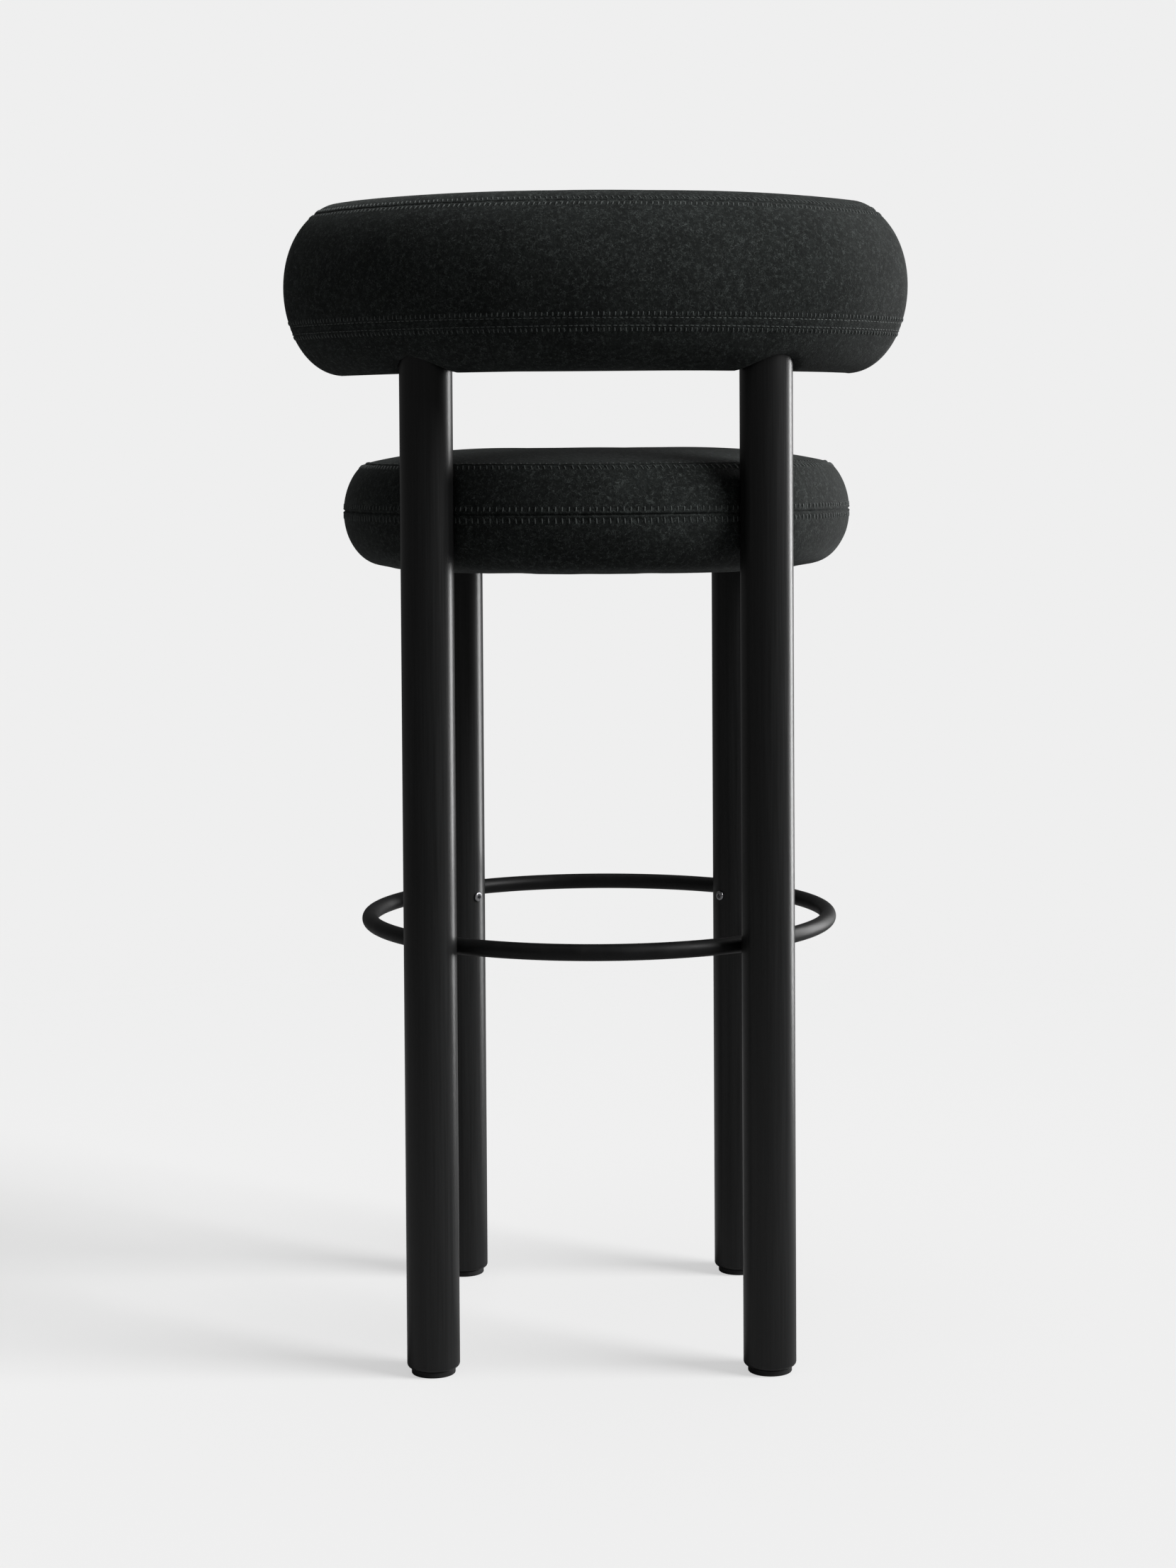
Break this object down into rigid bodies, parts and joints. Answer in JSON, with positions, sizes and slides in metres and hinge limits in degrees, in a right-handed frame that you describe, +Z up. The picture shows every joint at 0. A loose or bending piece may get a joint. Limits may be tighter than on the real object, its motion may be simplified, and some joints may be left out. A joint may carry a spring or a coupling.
{
  "type": "bar stool with footrest",
  "caption": "Bar stool with straight round black wooden legs, a round ring footrest, a thick round charcoal seat cushion and a crescent back cushion on the rear legs.",
  "frame": {"origin": "middle of the stool's outer box in plan, on the floor under the glides", "axes": "+Z is up, the sitter faces -Y, and the sitter's left is +X"},
  "size_m": [0.5282, 0.501, 0.977],
  "materials": {
    "leg_wood": "satin black stain, faint open grain",
    "footrest_steel": "satin black powder coat",
    "fastener_steel": "zinc plated",
    "glide_nylon": "moulded black nylon",
    "upholstery": "felted charcoal wool melange with tonal topstitching",
    "cushion_foam": "upholstery foam",
    "plywood": "bare birch plywood",
    "lining": "thin black woven lining"
  },
  "bodies": {
    "root": {"front_left_leg": "leg_wood", "front_right_leg": "leg_wood", "rear_left_leg": "leg_wood", "rear_right_leg": "leg_wood", "front_left_glide": "glide_nylon", "front_right_glide": "glide_nylon", "rear_left_glide": "glide_nylon", "rear_right_glide": "glide_nylon", "front_left_glide_screw": "fastener_steel", "front_right_glide_screw": "fastener_steel", "rear_left_glide_screw": "fastener_steel", "rear_right_glide_screw": "fastener_steel", "footrest_ring": "footrest_steel", "footrest_bolt_front_left": "fastener_steel", "footrest_bolt_front_right": "fastener_steel", "footrest_bolt_rear_left": "fastener_steel", "footrest_bolt_rear_right": "fastener_steel", "footrest_insert_rear_left": "fastener_steel", "footrest_insert_rear_right": "fastener_steel", "seat_board": "plywood", "seat_stud_front_left": "fastener_steel", "seat_stud_front_right": "fastener_steel", "seat_stud_rear_left": "fastener_steel", "seat_stud_rear_right": "fastener_steel", "seat_tee_nut_front_left": "fastener_steel", "seat_tee_nut_front_right": "fastener_steel", "seat_barrel_nut_rear_left": "fastener_steel", "seat_barrel_nut_rear_right": "fastener_steel", "seat_foam_upper": "cushion_foam", "seat_foam_lower": "cushion_foam", "seat_cover_top": "upholstery", "seat_cover_upper_band": "upholstery", "seat_cover_lower_band": "upholstery", "seat_dust_cover": "lining", "back_panel": "plywood", "back_screw_rear_left_lower": "fastener_steel", "back_screw_rear_left_upper": "fastener_steel", "back_screw_rear_right_lower": "fastener_steel", "back_screw_rear_right_upper": "fastener_steel", "back_foam": "cushion_foam", "back_cover_top": "upholstery", "back_cover_band": "upholstery", "back_cover_base": "upholstery"}
  },
  "joints": []
}
